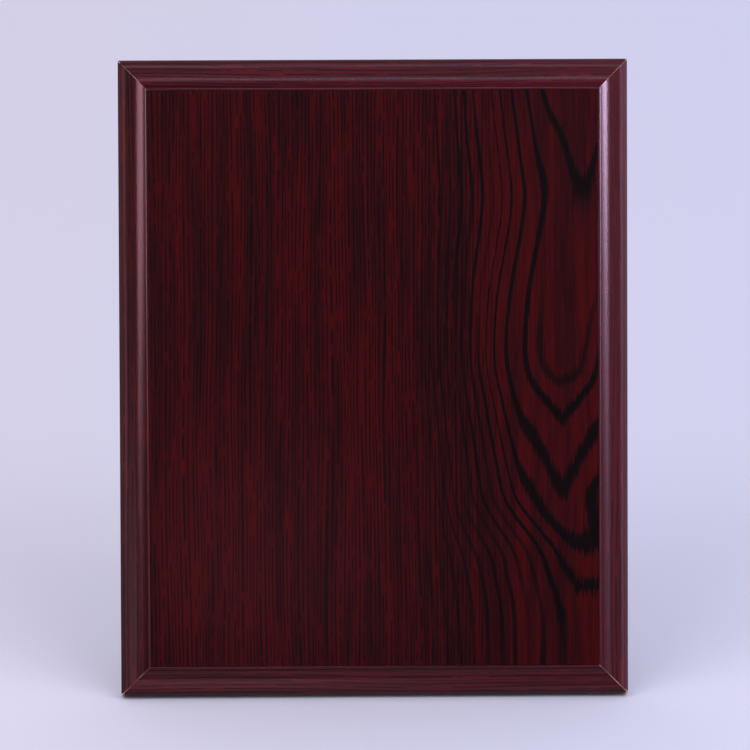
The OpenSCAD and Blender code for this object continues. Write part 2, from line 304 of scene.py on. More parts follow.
class Finish(Nodes):
    """A material and the nodes that it is built from."""

    def __init__(self, name, **shader):
        self.material = bpy.data.materials.new(name)
        self.material.use_nodes = True
        super().__init__(self.material.node_tree)
        self.shader = self.tree.nodes["Principled BSDF"]
        self.relief = None
        for socket, value in shader.items():
            self.shader.inputs[socket.replace("_", " ")].default_value = value

    def grain_place(self):
        """A point's two coordinates in the grain, in millimetres."""
        place = self.node("ShaderNodeUVMap", uv_map="grain").outputs[0]
        return [part * (1 / MM) for part in self.parts(place)[:2]]

    def room_place(self):
        """A point's three coordinates in the room, in millimetres."""
        place = self.node("ShaderNodeTexCoord").outputs["Object"]
        return [part * (1 / MM) for part in self.parts(place)]

    def mark(self, name):
        """A value that the mesh holds at each of its points."""
        return Reading(self, self.node("ShaderNodeAttribute", attribute_name=name).outputs["Fac"])

    def colour(self, value):
        self.feed(self.shader.inputs["Base Color"], value)

    def roughness(self, value):
        self.feed(self.shader.inputs["Roughness"], value)

    def emboss(self, height, depth):
        """Adds relief of a depth, in millimetres, to the surface."""
        node = self.node("ShaderNodeBump")
        self.feed(node.inputs["Height"], height)
        node.inputs["Distance"].default_value = depth * MM
        if self.relief:
            self.feed(node.inputs["Normal"], self.relief)
        self.relief = node.outputs[0]
        self.feed(self.shader.inputs["Normal"], self.relief)


ROSEWOOD_DARK = tone(36, 9, 12)
ROSEWOOD_RED = tone(68, 8, 10)
ROSEWOOD_BLACK = tone(13, 9, 11)
MOULDING_DARK = tone(50, 7, 9)
MOULDING_RED = tone(76, 7, 11)
# The lighter, pinker tone towards which painted light draws the mouldings' film.
MOULDING_PAINTED_LIGHT = tone(116, 36, 52)
RAW_BOARD = tone(214, 180, 150)

# How far apart the rows of broken dark lines are printed, in millimetres.
LINE_GAP = 1.5


def printed_wood(finish, across, along, shades):
    """The print under the rings: tone bands, fine fibre and rows of broken dark lines.
    shades is the darker and the lighter tone."""
    waver = across + finish.streaks(across, along, 45, 140, detail=1) * 5
    broad = finish.streaks(waver, along, 24, 130, 9.3, detail=1)
    bands = finish.streaks(waver, along, 5, 110, detail=2, roughness=0.55)
    bands = bands + (broad - 0.5) * 0.5
    fibre = finish.streaks(waver, along, 0.6, 20, 6.2, detail=2, roughness=0.6)
    colour = finish.mix(bands.step(0.36, 0.62) * 0.6 + fibre.step(0.3, 0.7) * 0.4, *shades)
    row = waver / LINE_GAP + finish.streaks(waver, along, 5, 170, 3.1, detail=1) * 2.2
    off_row = (row.work("FRACT") - 0.5).work("ABSOLUTE")
    broken = finish.clouds(finish.point(row.work("FLOOR") * 7.3, along / 11, 8.4), detail=3)
    ragged = finish.streaks(waver, along, 0.5, 3, 4.7, detail=1)
    pores = (off_row + ragged * 0.2).step(0.34, 0.2) * broken.step(0.38, 0.48)
    return colour, fibre, pores


def inked(finish, colour, pores, rings, black):
    """The print with its dark lines and rings laid over it. black is how strong the rings
    are: 1 hides what is under them."""
    colour = finish.mix(pores * 0.85, colour, ROSEWOOD_BLACK)
    return finish.mix(rings * black, colour, ROSEWOOD_BLACK)


# The sizes and half widths of the flame's dark rings, from its heart outwards.
FLAME_TIP = (16.0, 0.95)
FLAME_EYE = (18.4, 0.6)
FLAME_ARMS = ((21.9, 0.9), (27.4, 1.0), (31.2, 0.75), (33.9, 0.45))
FIRST_RING, RING_GAP = 36.6, 2.9
# The flame's heart, in millimetres from the middle of the bottom edge: its place across,
# and the heights of its upper dip, its widest rings, its eye and its lower dip.
HEART_X = 74
HEART_TOP = 199
SWELL_Y = 165
EYE_Y = 131
HEART_LOW = 34
# How far across a ring bends with its heart: not at all, and in full.
UNBENT_X, BENT_X = 10, 62
# Square of the smallest ring that the face cuts.
HEART_DEPTH = 260


def flame_rings(finish, x, y):
    """Growth rings of a flat-sawn board. Its heart comes up to the face near the right
    edge, where the rings close in an eye, and dips away towards both ends."""
    near_heart = x.step(UNBENT_X, BENT_X)
    heart = HEART_X + (y.step(EYE_Y, HEART_TOP, 0, 8) + y.step(82, 52, 0, 10)) * near_heart
    off_heart = (x - heart).work("ABSOLUTE")
    fall = (EYE_Y - y).work("SMOOTH_MAX", 0, 12)
    below_eye = fall.work("SMOOTH_MIN", EYE_Y - HEART_LOW, 10) * 10
    above_top = (y - HEART_TOP).work("SMOOTH_MAX", 0, 8) * 6.5
    swell = y.step(EYE_Y, SWELL_Y) * y.step(HEART_TOP, SWELL_Y) * 40
    low_points = y.step(64, 82) * y.step(128, 104)
    high_points = y.step(186, 212) * y.step(244, 216)
    pinch = off_heart * off_heart.step(18, 6) * (low_points + high_points) * 10
    feather = finish.streaks(x, y, 0.5, 12, 1.3, detail=1) - 0.5
    wander = finish.streaks(x, y, 40, 90, 5.5, detail=2) - 0.5
    depth = off_heart ** 2 + below_eye - above_top - swell + pinch + HEART_DEPTH
    ring = depth.work("MAXIMUM", 0.01) ** 0.5 + wander * off_heart.step(8, 60, 1, 5)
    ring = ring + feather * off_heart.step(4, 22, 1.7, 0.45)
    slim = off_heart.step(12, 30, 1, 0.5)

    def dark_line(size, half_width):
        return ((ring - size).work("ABSOLUTE") / (slim * half_width)).step(1.25, 0.5)

    figure = dark_line(*FLAME_TIP) * y.step(188, 200)
    figure = figure.work("MAXIMUM", dark_line(*FLAME_EYE) * y.step(168, 142) * 0.8)
    for arm in FLAME_ARMS:
        figure = figure.work("MAXIMUM", dark_line(*arm))
    count = (ring - FIRST_RING) / RING_GAP
    off_line = ((count + 0.5).work("FRACT") - 0.5).work("ABSOLUTE")
    fine = (off_line / ring.step(40, 60, 0.2, 0.12)).step(1.15, 0.5) * count.step(-0.6, -0.45)
    level = finish.clouds(finish.point((count + 0.5).work("FLOOR") * 3.7, y / 90, 7.7), detail=1)
    fine = fine * level.step(0.3, 0.55, 0.35, 1) * ring.step(80, 38, 0.2, 1)
    return figure.work("MAXIMUM", fine)


def rosewood_face():
    """Satin film of the raised panel, with a flame figure at its right side."""
    finish = Finish("rosewood_face_film", IOR=1.46, Specular_IOR_Level=0.05)
    x, y = finish.grain_place()
    rings = flame_rings(finish, x, y)
    colour, fibre, pores = printed_wood(finish, x, y, (ROSEWOOD_DARK, ROSEWOOD_RED))
    pores = pores * x.step(64, 30, 0.1, 1)
    colour = inked(finish, colour, pores, rings, 0.96)
    specks = finish.specks(finish.point(x, y), 24, 0.16, 0.3)
    finish.colour(finish.mix(specks, colour, RAW_BOARD))
    finish.roughness(fibre.step(0.3, 0.8, 0.34, 0.4))
    finish.emboss(pores * -1, 0.01)
    return finish.material


# How far apart the straight rings of the mouldings' film are, in millimetres.
STRAIGHT_RING_GAP = 3.1


def rosewood_moulding():
    """Satin film wrapped round the mouldings, worn to the board where they meet."""
    finish = Finish("rosewood_moulding_film", IOR=1.46, Specular_IOR_Level=0.3)
    along, across = finish.grain_place()
    x, y, z = finish.room_place()
    waver = across + finish.streaks(across, along, 9, 50, detail=1) * 3
    ring = waver + finish.streaks(waver, along, 2.2, 40, 4.4, detail=1) * 2.4
    edge = (ring / STRAIGHT_RING_GAP).work("FRACT")
    rings = edge.step(0.5, 0.9) * edge.step(1.0, 0.93) * 0.75
    colour, _, pores = printed_wood(finish, across, along, (MOULDING_DARK, MOULDING_RED))
    colour = inked(finish, colour, pores, rings, 0.4)
    # Painted light: each moulding's film is drawn lighter and pinker by the share given at its ends, most on the
    # right and least on the left.
    colour = finish.mix(finish.mark("fade") * 0.4, colour, MOULDING_PAINTED_LIGHT)
    dark_lines = (pores * 0.4).work("MAXIMUM", rings * 0.35)
    colour = finish.mix(dark_lines, colour, ROSEWOOD_BLACK)
    to_mitre = finish.mark("half_length") * (1 / MM) - along.work("ABSOLUTE")
    from_side = finish.mark("from_side") * (1 / MM)
    ragged = finish.clouds(finish.point(x, y, z), size=0.5, detail=2)
    patchy = finish.clouds(finish.point(x, y, z), size=9, detail=1)
    bare = patchy.step(0.35, 0.65, 0.08, 0.4)
    seam = (to_mitre + ragged * 0.5 - patchy * 0.5).step(0.16, 0.05) * bare
    tip = (to_mitre + from_side * 0.5 + ragged * 1.4 - patchy).step(0.9, 0.5)
    worn = seam.work("MAXIMUM", tip)
    specks = finish.specks(finish.point(x, y, z), 21, 0.12, 0.35)
    colour = finish.mix(worn.work("MAXIMUM", specks), colour, RAW_BOARD)
    finish.colour(colour)
    rubbed = from_side.step(3.4, 1.6) * finish.mark("rubbed")
    finish.roughness(0.34 + (rubbed * 0.6).work("MAXIMUM", worn * 0.5))
    grit = finish.clouds(finish.point(along, across), size=0.9, detail=1)
    finish.emboss(grit, 0.06)
    return finish.material


def fibreboard():
    """Raw fibreboard: felted tan fibres with a few dark ones."""
    finish = Finish("raw_fibreboard", Roughness=0.9)
    x, y, z = finish.room_place()
    felt = finish.clouds(finish.point(x, y, z), size=0.5, detail=4, roughness=0.7)
    shade = finish.clouds(finish.point(x, y, z), size=12, detail=2)
    colour = finish.mix(shade.step(0.3, 0.7), tone(186, 150, 112), tone(204, 172, 134))
    finish.colour(finish.mix(felt.step(0.55, 0.8) * 0.5, colour, tone(120, 88, 60)))
    finish.emboss(felt, 0.05)
    return finish.material


def black_flock():
    """Card covered with a short velvety pile."""
    finish = Finish("black_flock", Roughness=0.95, Sheen_Weight=0.35, Sheen_Roughness=0.45,
                    Sheen_Tint=tone(150, 150, 160), Specular_IOR_Level=0.2)
    x, y, z = finish.room_place()
    pile = finish.clouds(finish.point(x, y, z), size=0.35, detail=3, roughness=0.7)
    brushed = finish.clouds(finish.point(x, y, z), size=26, detail=3, roughness=0.55)
    lint = finish.specks(finish.point(x, y, z), 9, 0.05, 0.25)
    colour = finish.mix(brushed.step(0.35, 0.65), tone(27, 27, 30), tone(40, 40, 44))
    colour = finish.mix(pile.step(0.4, 0.75) * 0.6, colour, tone(58, 58, 63))
    finish.colour(finish.mix(lint * 0.5, colour, tone(150, 148, 146)))
    finish.emboss(pile, 0.18)
    return finish.material


# How many times longer than wide the rolling lines are, and what a smudge leaves of the shine.
ROLLED_OUT = 30
SMUDGED = 0.72


def metal(name, shade, dull, run):
    """Plated steel with fine rolling lines along one of the room's axes: run is 0 for X,
    1 for Y and 2 for Z."""
    finish = Finish(name, Metallic=1.0)
    place = finish.room_place()
    place[run] = place[run] / ROLLED_OUT
    lines = finish.clouds(finish.point(*place), size=0.3, detail=3, roughness=0.6)
    smudge = finish.clouds(finish.point(*finish.room_place()), size=6, detail=3, roughness=0.6)
    darker = tuple(c * SMUDGED for c in shade[:3]) + (1,)
    finish.colour(finish.mix(smudge.step(0.35, 0.7), shade, darker))
    finish.roughness(smudge.step(0.3, 0.7, dull, dull + 0.14) + lines * 0.06)
    finish.emboss(lines, 0.012)
    return finish.material


# The ribbon's weave, in millimetres, and where its selvedges begin from its middle.
WARP_PITCH = 0.28
WEFT_PITCH = 0.36
SELVEDGE_FROM = 5.0


def satin_ribbon():
    """Black ribbon: fine warp floats across which the weft shows, and firm selvedges."""
    finish = Finish("woven_ribbon", Roughness=0.55, Specular_IOR_Level=0.25, Sheen_Weight=0.3,
                    Sheen_Roughness=0.4)
    across, along = finish.grain_place()
    warp = (across * (2 * math.pi / WARP_PITCH)).work("SINE")
    weft = (along * (2 * math.pi / WEFT_PITCH)).work("SINE")
    selvedge = across.work("ABSOLUTE").step(SELVEDGE_FROM, SELVEDGE_FROM + 0.2)
    thread = (warp * 0.7 + weft * (0.3 + selvedge * 0.9)) * 0.5 + 0.5
    worn = finish.clouds(finish.point(across, along), size=4, detail=2)
    colour = finish.mix(thread.step(0, 1), tone(16, 16, 18), tone(46, 46, 51))
    finish.colour(finish.mix(worn.step(0.55, 0.8) * 0.3, colour, tone(80, 80, 86)))
    finish.emboss(thread, 0.05)
    return finish.material


def floor_paper():
    """Pale matt paper under the plaque, with painted light: a little warmer at the left and cooler at the right.
    """
    finish = Finish("pale_paper", Roughness=0.9, Specular_IOR_Level=0.0)
    x = finish.room_place()[0]
    # Painted light: the paper is tinted warmer at the left and cooler at the right, as by the warm and cool lamps
    # at either side.
    finish.colour(finish.mix(x.step(-260, 260), tone(228, 226, 242), tone(225, 227, 249)))
    return finish.material


# ---- the raised face ----

# Radius to which the film's cut edges are eased.
FACE_EASE = 0.22 * MM


def face_panel():
    """The film on the raised board, with its cut edges eased over."""
    low, high = span("face_film", PLAQUE)
    levels = [(0, high.z - low.z)]
    for inset, rise in arc((FACE_EASE, 0), FACE_EASE, 180, 90, 4):
        levels.append((inset, FACE_EASE - rise))
    points, faces, uvs = [], [], []
    for inset, drop in levels:
        for sx, sy in ((-1, -1), (1, -1), (1, 1), (-1, 1)):
            x = (high.x - inset) * sx
            y = (low.y + high.y) / 2 + ((high.y - low.y) / 2 - inset) * sy
            points.append((x, y, high.z - drop))
            uvs.append((x, y))
    for ring in range(len(levels) - 1):
        for side in range(4):
            a, b = 4 * ring + side, 4 * ring + (side + 1) % 4
            faces.append((a, b, b + 4, a + 4))
    last = 4 * (len(levels) - 1)
    faces.append((3, 2, 1, 0))
    faces.append((last, last + 1, last + 2, last + 3))
    piece = mesh_piece("face_panel", points, faces, PLAQUE, uvs)
    face_outwards(piece.data)
    smooth(piece.data, 60)
    return piece


# ---- mouldings ----

LIP_W = 0.9 * MM
COVE_DEPTH = 3.8 * MM
COVE_R = 5 * MM
EDGE_R = 3.2 * MM
TURN_IN = 4.8 * MM
# Radii of the lip's crest and of the turn onto the back, and the least one left inside.
CREST_R = 0.6 * MM
HEEL_R = 0.3 * MM
LEAST_R = 0.02 * MM
# Half of the seam between two films at a mitre.
MITRE_SEAM = 0.03 * MM
# How much further along the printed roll each next moulding's film is cut.
ROLL_SHIFT = 37 * MM

# For each moulding: how much painted light draws its film lighter at either end, most on the right moulding and
# least on the left, and how dull at the edge.
FILMS = (("bottom", (0.3, 0.5), 0.7), ("right", (0.7, 0.9), 1), ("top", (0.7, 0.4), 0.3),
         ("left", (0, 0.1), 1))


def moulding_outline(width, lip_h, skin):
    """Section of a moulding from the lip, down the cove and the side, to the turned-in
    film, with a skin taken off. Each point is (distance from the face, height)."""
    shelf_h = lip_h - COVE_DEPTH
    cove = (LIP_W + math.sqrt(COVE_R ** 2 - (COVE_R - COVE_DEPTH) ** 2), shelf_h + COVE_R)
    rise = cove[1] - (lip_h - CREST_R)
    run = math.sqrt((COVE_R + CREST_R) ** 2 - rise ** 2)
    crest = (cove[0] - run, lip_h - CREST_R)
    tangent = math.degrees(math.atan2(rise, run))
    side = (width - EDGE_R, shelf_h - EDGE_R)
    heel = (width - HEEL_R, HEEL_R)
    outline = [(0, lip_h - skin)]
    outline += arc(crest, CREST_R - skin, 90, tangent, 5)
    outline += arc(cove, COVE_R + skin, 180 + tangent, 270, 22)
    outline += arc(side, EDGE_R - skin, 90, 0, 12)
    outline += arc(heel, max(HEEL_R - skin, LEAST_R), 0, -90, 4)
    outline.append((width - TURN_IN, skin))
    return outline


def wrap(name, turn, lengthwise, fade, rubbed):
    """The film round one moulding, mitred at both ends. fade is how much painted light
    draws the film lighter at each end, and rubbed how dull its outer edge has become."""
    low, high = span("bottom_wrap", PLAQUE)
    side_low, side_high = span("left_wrap", PLAQUE)
    film_low, film_high = span("face_film", PLAQUE)
    width, lip_h = high.y - low.y, high.z
    film = film_high.z - film_low.z
    middle = (side_low.y + side_high.y) / 2
    halves = (high.x, (side_high.y - side_low.y) / 2)
    half, depth = halves if turn % 180 == 0 else halves[::-1]
    sections = zip(moulding_outline(width, lip_h, 0), moulding_outline(width, lip_h, film))
    pairs = []
    for pair in sections:
        if not pairs or math.dist(pair[0], pairs[-1][0]) > 0.01 * MM:
            pairs.append(pair)
    outer, inner = zip(*pairs)
    developed, lengths = 0, []
    for i, (p, v) in enumerate(outer):
        developed += math.dist((p, v), outer[i - 1]) if i else 0
        lengths.append(developed + lengthwise)
    points, uvs, reach, off_side, painted_light_values = [], [], [], [], []
    spin = Matrix.Translation((0, middle, 0)) @ Matrix.Rotation(math.radians(turn), 4, "Z")
    for skin in (outer, inner):
        for (p, v), across in zip(skin, lengths):
            row_half = half - width + p - MITRE_SEAM
            for end in (-1, 1):
                points.append(spin @ Vector((end * row_half, width - p - depth, v)))
                uvs.append((end * row_half, across))
                reach.append(row_half)
                off_side.append(width - p)
                painted_light_values.append(fade[end > 0])
    count = len(outer)
    faces = []
    for i in range(count - 1):
        a, b = 2 * i, 2 * (count + i)
        faces.append((a, a + 1, a + 3, a + 2))
        faces.append((b, b + 2, b + 3, b + 1))
        faces.append((a, a + 2, b + 2, b))
        faces.append((a + 1, b + 1, b + 3, a + 3))
    for i in (0, count - 1):
        a, b = 2 * i, 2 * (count + i)
        faces.append((a, b, b + 1, a + 1))
    marks = {"half_length": reach, "from_side": off_side, "fade": painted_light_values,
             "rubbed": [rubbed] * len(points)}
    piece = mesh_piece(name, points, faces, PLAQUE, uvs, marks)
    face_outwards(piece.data)
    smooth(piece.data, 40)
    return piece


# ---- hardware ----

def tree_of(name, inputs):
    """An empty tree of geometry nodes with named inputs."""
    tree = bpy.data.node_groups.new(name, "GeometryNodeTree")
    for title, kind in inputs:
        tree.interface.new_socket(title, in_out="INPUT", socket_type=kind)
    tree.interface.new_socket("Geometry", in_out="OUTPUT", socket_type="NodeSocketGeometry")
    return tree, tree.nodes.new("NodeGroupInput"), tree.nodes.new("NodeGroupOutput")


def chain(tree, kind, links, **settings):
    """A node of a tree with what feeds its inputs."""
    node = tree.nodes.new(kind)
    for setting, value in settings.items():
        setattr(node, setting, value)
    for socket, value in links.items():
        if isinstance(value, bpy.types.NodeSocket):
            tree.links.new(value, node.inputs[socket])
        else:
            node.inputs[socket].default_value = value
    return node


def grow(piece, tree, **inputs):
    """Runs a tree on a piece with its inputs set, and keeps the plain mesh."""
    modifier = piece.modifiers.new(tree.name, "NODES")
    modifier.node_group = tree
    places = {s.name: s.identifier for s in tree.interface.items_tree if s.in_out == "INPUT"}
    for title, value in inputs.items():
        modifier[places[title.replace("_", " ")]] = value
    return settled(piece)


def row_tree():
    """Copies of one fastener in a row, each turned a little differently."""
    tree, given, made = tree_of("fastener row", [
        ("Geometry", "NodeSocketGeometry"), ("Fastener", "NodeSocketObject"),
        ("Count", "NodeSocketInt"), ("First place", "NodeSocketVector"),
        ("Step", "NodeSocketVector"), ("Turn", "NodeSocketFloat"),
        ("Finish", "NodeSocketMaterial")])
    blank = chain(tree, "GeometryNodeObjectInfo", {"Object": given.outputs["Fastener"]})
    line = chain(tree, "GeometryNodeMeshLine", {
        "Count": given.outputs["Count"], "Start Location": given.outputs["First place"],
        "Offset": given.outputs["Step"]})
    twist = chain(tree, "FunctionNodeRandomValue", {"Min": 0.0, "Max": given.outputs["Turn"],
                                                    "Seed": SEED}, data_type="FLOAT")
    turn = chain(tree, "ShaderNodeCombineXYZ", {"Z": twist.outputs[1]})
    row = chain(tree, "GeometryNodeInstanceOnPoints", {
        "Points": line.outputs[0], "Instance": blank.outputs["Geometry"],
        "Rotation": turn.outputs[0]})
    whole = chain(tree, "GeometryNodeRealizeInstances", {"Geometry": row.outputs[0]})
    done = chain(tree, "GeometryNodeSetMaterial", {
        "Geometry": whole.outputs[0], "Material": given.outputs["Finish"]})
    tree.links.new(done.outputs[0], made.inputs[0])
    return tree


def wire_tree():
    """Wire bent round a path's corners."""
    tree, given, made = tree_of("bent wire", [
        ("Geometry", "NodeSocketGeometry"), ("Wire radius", "NodeSocketFloat"),
        ("Bend radius", "NodeSocketFloat"), ("Finish", "NodeSocketMaterial")])
    path = chain(tree, "GeometryNodeMeshToCurve", {"Mesh": given.outputs["Geometry"]})
    bent = chain(tree, "GeometryNodeFilletCurve", {
        "Curve": path.outputs[0], "Radius": given.outputs["Bend radius"], "Count": 6,
        "Limit Radius": True}, mode="POLY")
    round_section = chain(tree, "GeometryNodeCurvePrimitiveCircle", {
        "Resolution": 12, "Radius": given.outputs["Wire radius"]})
    wire = chain(tree, "GeometryNodeCurveToMesh", {
        "Curve": bent.outputs[0], "Profile Curve": round_section.outputs[0], "Fill Caps": True})
    whole = chain(tree, "GeometryNodeRealizeInstances", {"Geometry": wire.outputs[0]})
    done = chain(tree, "GeometryNodeSetMaterial", {
        "Geometry": whole.outputs[0], "Material": given.outputs["Finish"]})
    tree.links.new(done.outputs[0], made.inputs[0])
    return tree


# Sides of a turned piece.
ROUND = 28


def turned(name, outline, thread=0, pitch=1 * MM):
    """A solid turned from an outline of (radius, height), from the top down. Where the
    thread is given, its depth winds round the points marked with a third value."""
    points, faces = [], []
    for row in outline:
        for k in range(ROUND):
            wind = (row[1] / pitch - k / ROUND) % 1
            depth = thread * (1 - abs(2 * wind - 1)) if len(row) > 2 else 0
            turn = 2 * math.pi * k / ROUND
            r = row[0] + depth
            points.append((r * math.cos(turn), r * math.sin(turn), row[1]))
    for i in range(len(outline) - 1):
        for k in range(ROUND):
            a, b = ROUND * i + k, ROUND * i + (k + 1) % ROUND
            faces.append((a, b, b + ROUND, a + ROUND))
    faces.append(tuple(range(ROUND)))
    faces.append(tuple(ROUND * len(outline) - 1 - k for k in range(ROUND)))
    piece = mesh_piece(name, points, faces)
    face_outwards(piece.data)
    return piece


def dome_outline(radius, height, rim):
    """A low dome below z = 0, from its crown to its rolled rim."""
    ball = (radius ** 2 + height ** 2) / (2 * height)
    edge = math.asin(radius / ball)
    turns = [edge * i / 8 for i in range(8)]
    crown = [(max(ball * math.sin(t), LEAST_R), ball - height - ball * math.cos(t)) for t in turns]
    return crown + [(radius - rim * 0.3, -rim), (radius, -rim * 0.45), (radius - rim * 0.3, 0)]


def shank_outline(radius, length, point, thread_from=None):
    """A shank above z = 0 that runs to a point."""
    steps = 40 if thread_from else 2
    straight = length - point
    rows = []
    for i in range(steps + 1):
        z = straight * i / steps
        marked = thread_from is not None and z >= thread_from
        rows.append((radius, z, 1) if marked else (radius, z))
    return rows + [(radius * 0.08, length)]


def cut_cross(piece, width, reach, depth, top):
    """Cuts a cross recess into a head whose crown is at z = top."""
    for turn in (0, 90):
        bpy.ops.mesh.primitive_cube_add(size=1)
        blade = bpy.context.object
        blade.matrix_world = (Matrix.Rotation(math.radians(turn), 4, "Z")
                              @ Matrix.Translation((0, 0, top))
                              @ Matrix.Diagonal((2 * reach, width, 2 * depth, 1)))
        cut = piece.modifiers.new("recess", "BOOLEAN")
        cut.operation = "DIFFERENCE"
        cut.solver = "EXACT"
        cut.object = blade
        name = piece.name
        piece = settled(piece)
        bpy.data.objects.remove(blade)
        piece.name = name
    return piece


def fastener_row(name, blank, bench, count, first, step, turn, finish):
    """A row of fasteners on a bench, as one piece."""
    smooth(blank.data, 40)
    row = grow(mesh_piece(name, [(0, 0, 0)], []), ROW, Fastener=blank, Count=count,
               First_place=first, Step=step, Turn=turn, Finish=finish)
    bpy.data.objects.remove(blank)
    row.data.transform(bench)
    return row


# Thickness of the hinge's leaves.
LEAF_T = 0.8 * MM

# Screws: head, core and thread, point, shank without a thread, and cross recess.
SCREW_HEAD_R = 2.3 * MM
SCREW_R = 1.0 * MM
THREAD_H = 0.2 * MM
SCREW_POINT = 2.4 * MM
PLAIN_SHANK = 1.6 * MM
CROSS_W = 0.6 * MM
CROSS_REACH = 1.5 * MM
CROSS_DEPTH = 0.85 * MM


def screws(finish):
    """Three cross-headed screws through the leaf on the back."""
    low, high = span("hinge_screws", PLAQUE)
    leaf_back = span("back_card", PLAQUE)[0].z - LEAF_T
    head_h = leaf_back - low.z
    pitch = ((high.x - low.x) - 2 * SCREW_HEAD_R) / 2
    shank = shank_outline(SCREW_R, high.z - leaf_back, SCREW_POINT, PLAIN_SHANK)
    blank = turned("screw_blank", dome_outline(SCREW_HEAD_R, head_h, 0.4 * MM) + shank, THREAD_H)
    blank = cut_cross(blank, CROSS_W, CROSS_REACH, CROSS_DEPTH, -head_h)
    first = ((low.x + high.x) / 2 - pitch, (low.y + high.y) / 2, leaf_back)
    return fastener_row("hinge_screw_row", blank, PLAQUE, 3, first, (pitch, 0, 0), math.pi, finish)


# Rivets: domed head, shank, and the end that is spread in the leaf.
RIVET_HEAD_R = 2.4 * MM
RIVET_R = 1.2 * MM
SPREAD_R = 1.95 * MM


def rivets(finish):
    """Three domed rivets that hold the other leaf to the strut."""
    low, high = span("strut_rivets", STRUT)
    cover_low, cover_high = span("strut_cover", STRUT)
    pitch = ((high.x - low.x) - 2 * RIVET_HEAD_R) / 2
    thick = cover_high.z + LEAF_T - cover_low.z
    spread = [(RIVET_R, 0), (RIVET_R, thick - LEAF_T), (SPREAD_R, thick - 0.05 * MM),
              (SPREAD_R - 0.05 * MM, thick)]
    blank = turned("rivet_blank",
                   dome_outline(RIVET_HEAD_R, cover_low.z - low.z, 0.3 * MM) + spread)
    first = ((low.x + high.x) / 2 - pitch, (low.y + high.y) / 2, cover_low.z)
    return fastener_row("strut_rivet_row", blank, STRUT, 3, first, (pitch, 0, 0), 1.0, finish)


TACK_R = 0.8 * MM
TACK_POINT = 2 * MM


def tacks(finish):
    """Two round-headed tacks through the keyhole plate."""
    low, high = span("keyhole_tacks", PLAQUE)
    plate_back = span("keyhole_plate", PLAQUE)[0].z
    head_r = (high.x - low.x) / 2
    pitch = (high.y - low.y) - 2 * head_r
    blank = turned("tack_blank", dome_outline(head_r, plate_back - low.z, 0.25 * MM)
                   + shank_outline(TACK_R, high.z - plate_back, TACK_POINT))
    first = (0, low.y + head_r, plate_back)
    return fastener_row("keyhole_tack_pair", blank, PLAQUE, 2, first, (0, pitch, 0), 1.0, finish)


def staple(name, node, bench, upright, finish):
    """A wire staple whose crown lies flat and whose legs go in, upright or hanging."""
    low, high = span(node, bench)
    wire = (high.y - low.y) / 2
    crown, tips = (low.z + wire, high.z) if upright else (high.z - wire, low.z)
    side, y = high.x - wire, (low.y + high.y) / 2
    bends = [(-side, y, tips), (-side, y, crown), (side, y, crown), (side, y, tips)]
    path = mesh_piece(name, bends, [])
    path.data.edges.add(3)
    for i, edge in enumerate(path.data.edges):
        edge.vertices = (i, i + 1)
    path.data.transform(bench)
    piece = grow(path, WIRE, Wire_radius=wire, Bend_radius=2.2 * wire, Finish=finish)
    smooth(piece.data, 50)
    return piece


# ---- ribbon ----

RIBBON_T = 0.3 * MM
TAB_L = 10 * MM
# Radius at which the ribbon bends, about.
RIBBON_EASE = 1.2 * MM
# The ribbon's section: places across, in half widths, and the half thickness at each.
RIBBON_SECTION = ((-1, 0.35), (-0.96, 0.5), (-0.85, 0.42), (-0.5, 0.4), (0, 0.4), (0.5, 0.4),
                  (0.85, 0.42), (0.96, 0.5), (1, 0.35))


def ribbon_route():
    """The middle line of the stay: a tab up the back, the span, and a tab on the strut."""
    back_top = span("stay_ribbon", PLAQUE)[1].y
    card = span("back_card", PLAQUE)[0].z - RIBBON_T / 2
    strut_end = span("stay_ribbon", STRUT)[0].y
    cover = span("strut_cover", STRUT)[1].z + RIBBON_T / 2
    return [PLAQUE @ Vector((0, back_top, card)), PLAQUE @ Vector((0, back_top - TAB_L, card)),
            STRUT @ Vector((0, strut_end + TAB_L, cover)), STRUT @ Vector((0, strut_end, cover))]


def eased_path(corners, ease, steps):
    """The straight runs between corners with each inner corner rounded, in short steps."""
    path = [corners[0]]
    for before, corner, after in zip(corners, corners[1:], corners[2:]):
        enter = corner + (before - corner).normalized() * ease
        leave = corner + (after - corner).normalized() * ease
        run = (enter - path[-1]).length
        path += [path[-1].lerp(enter, i / steps) for i in range(1, steps + 1)] if run else []
        path += [enter.lerp(corner, t).lerp(corner.lerp(leave, t), t) for t in (0.25, 0.5, 0.75, 1)]
    return path + [path[-1].lerp(corners[-1], i / steps) for i in range(1, steps + 1)]


def stay_ribbon(finish):
    """A flat woven ribbon along its route, a little thicker at its selvedges."""
    half = span("stay_ribbon", PLAQUE)[1].x
    corners = ribbon_route()
    path = eased_path(corners, RIBBON_EASE, 24)
    points, uvs, faces, run = [], [], [], 0
    for i, place in enumerate(path):
        ahead = path[min(i + 1, len(path) - 1)] - path[max(i - 1, 0)]
        normal = ahead.normalized().cross(Vector((1, 0, 0)))
        run += (place - path[i - 1]).length if i else 0
        for side in (1, -1):
            for a, t in RIBBON_SECTION:
                points.append(place + Vector((a * half, 0, 0)) + normal * (side * t * RIBBON_T))
                uvs.append((a * half, run))
    n = len(RIBBON_SECTION)
    for i in range(len(path) - 1):
        top, under = 2 * n * i, 2 * n * i + n
        for k in range(n - 1):
            faces.append((top + k, top + k + 1, top + 2 * n + k + 1, top + 2 * n + k))
            faces.append((under + k, under + 2 * n + k, under + 2 * n + k + 1, under + k + 1))
        for k in (0, n - 1):
            faces.append((top + k, under + k, under + 2 * n + k, top + 2 * n + k))
    for i in (0, len(path) - 1):
        top = 2 * n * i
        for k in range(n - 1):
            faces.append((top + k, top + n + k, top + n + k + 1, top + k + 1))
    piece = mesh_piece("ribbon_stay", points, faces, Matrix(), uvs)
    face_outwards(piece.data)
    smooth(piece.data, 50)
    finish_piece(piece, finish, None, "ribbon", "stay_ribbon")
    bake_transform(piece)


# ---- assembly ----

ROW = row_tree()
WIRE = wire_tree()

